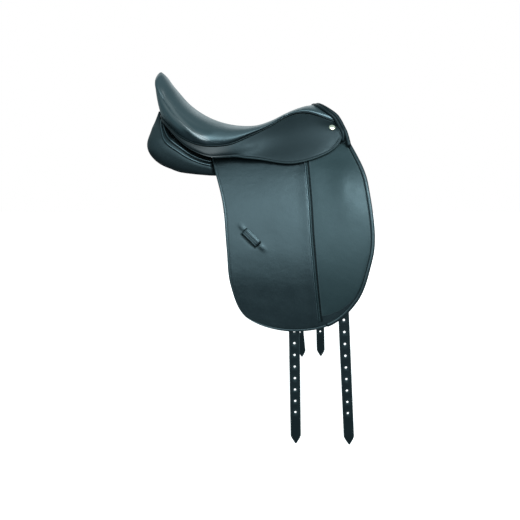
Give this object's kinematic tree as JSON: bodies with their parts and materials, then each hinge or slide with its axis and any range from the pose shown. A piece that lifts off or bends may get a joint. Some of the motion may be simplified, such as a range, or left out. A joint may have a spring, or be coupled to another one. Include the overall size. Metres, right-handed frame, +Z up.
{
  "type": "dressage saddle",
  "caption": "Dressage saddle with deep padded seat, skirts over stirrup bars, long lifting flaps with knee inlay, stuffed panels and long hanging girth straps.",
  "frame": {"origin": "centre plane, at the roof of the channel between the panels, under the lowest point of the seat", "axes": "+X forward to the pommel, +Y to the rider's left, +Z up; the picture shows the right side"},
  "size_m": [0.5235, 0.4066, 0.901],
  "materials": {
    "leather": "satin, smooth",
    "soft_leather": "matte, grained",
    "strap_leather": "matte",
    "steel": "satin",
    "nail": "polished",
    "wood": "plain, unvarnished",
    "webbing": "woven linen",
    "foam": "open cell"
  },
  "bodies": {
    "saddle": {"tree_frame": "wood", "head_arch": "wood", "gullet_plate": "steel", "head_plate": "steel", "cantle_plate": "steel", "spring_steels": "steel", "tree_rivets": "steel", "seat_webbing": "webbing", "seat_foam": "foam", "seat_cover": "leather", "cantle_facing": "leather", "seat_welt": "leather", "pommel_facing": "leather", "pommel_roll": "leather", "pommel_welt": "leather", "gullet_strip": "soft_leather", "girth_web": "webbing", "point_webs": "webbing", "stirrup_bar_left": "steel", "stirrup_bar_right": "steel", "bar_rivets_left": "steel", "bar_rivets_right": "steel", "catch_pin_left": "steel", "catch_pin_right": "steel", "skirt_top_left": "leather", "skirt_top_right": "leather", "nail_left": "nail", "nail_right": "nail", "flap_top_left": "leather", "flap_top_right": "leather", "sweat_flap_left": "soft_leather", "sweat_flap_right": "soft_leather", "knee_block_left": "soft_leather", "knee_block_right": "soft_leather", "thigh_block_left": "soft_leather", "thigh_block_right": "soft_leather", "buckle_guard_left": "strap_leather", "buckle_guard_right": "strap_leather", "panel_left": "soft_leather", "panel_right": "soft_leather", "panel_welt_left": "soft_leather", "panel_welt_right": "soft_leather"},
    "flap_left": {"flap_left": "leather", "flap_inlay_left": "leather", "flap_binding_left": "leather", "flap_welt_left": "leather", "leather_keeper_left": "leather"},
    "skirt_left": {"skirt_left": "leather"},
    "bar_catch_left": {"bar_catch_left": "steel"},
    "girth_strap_front_left": {"girth_strap_front_left": "strap_leather"},
    "girth_strap_rear_left": {"girth_strap_rear_left": "strap_leather"},
    "flap_right": {"flap_right": "leather", "flap_inlay_right": "leather", "flap_binding_right": "leather", "flap_welt_right": "leather", "leather_keeper_right": "leather"},
    "skirt_right": {"skirt_right": "leather"},
    "bar_catch_right": {"bar_catch_right": "steel"},
    "girth_strap_front_right": {"girth_strap_front_right": "strap_leather"},
    "girth_strap_rear_right": {"girth_strap_rear_right": "strap_leather"}
  },
  "joints": [
    {"name": "flap_lift_left", "type": "hinge", "parent": "saddle", "child": "flap_left", "pos_m": [0.1, 0.12362, -0.056], "axis": [1, 0, 0], "range_deg": [0, 85]},
    {"name": "skirt_lift_left", "type": "hinge", "parent": "saddle", "child": "skirt_left", "pos_m": [0.107, 0.10159, -0.001], "axis": [0.9728, -0.1041, 0.2068], "range_deg": [0, 95]},
    {"name": "catch_turn_left", "type": "hinge", "parent": "saddle", "child": "bar_catch_left", "pos_m": [0.096, 0.08754, -0.00013], "axis": [0, 0.9272, 0.3746], "range_deg": [0, 85]},
    {"name": "strap_swing_front_left", "type": "hinge", "parent": "saddle", "child": "girth_strap_front_left", "pos_m": [0.207, 0.11203, -0.053], "axis": [0, 0.8473, 0.5311], "range_deg": [-2.7, 6.3]},
    {"name": "strap_swing_rear_left", "type": "hinge", "parent": "saddle", "child": "girth_strap_rear_left", "pos_m": [0.108, 0.10588, -0.053], "axis": [0, 0.844, 0.5364], "range_deg": [-3.4, 12.6]},
    {"name": "flap_lift_right", "type": "hinge", "parent": "saddle", "child": "flap_right", "pos_m": [0.1, -0.12362, -0.056], "axis": [-1, 0, 0], "range_deg": [0, 85]},
    {"name": "skirt_lift_right", "type": "hinge", "parent": "saddle", "child": "skirt_right", "pos_m": [0.107, -0.10159, -0.001], "axis": [-0.9728, -0.1041, -0.2068], "range_deg": [0, 95]},
    {"name": "catch_turn_right", "type": "hinge", "parent": "saddle", "child": "bar_catch_right", "pos_m": [0.096, -0.08754, -0.00013], "axis": [0, 0.9272, -0.3746], "range_deg": [0, 85]},
    {"name": "strap_swing_front_right", "type": "hinge", "parent": "saddle", "child": "girth_strap_front_right", "pos_m": [0.207, -0.11203, -0.053], "axis": [0, 0.8473, -0.5311], "range_deg": [-1, 8]},
    {"name": "strap_swing_rear_right", "type": "hinge", "parent": "saddle", "child": "girth_strap_rear_right", "pos_m": [0.108, -0.10588, -0.053], "axis": [0, 0.844, -0.5364], "range_deg": [-8, 8]}
  ]
}
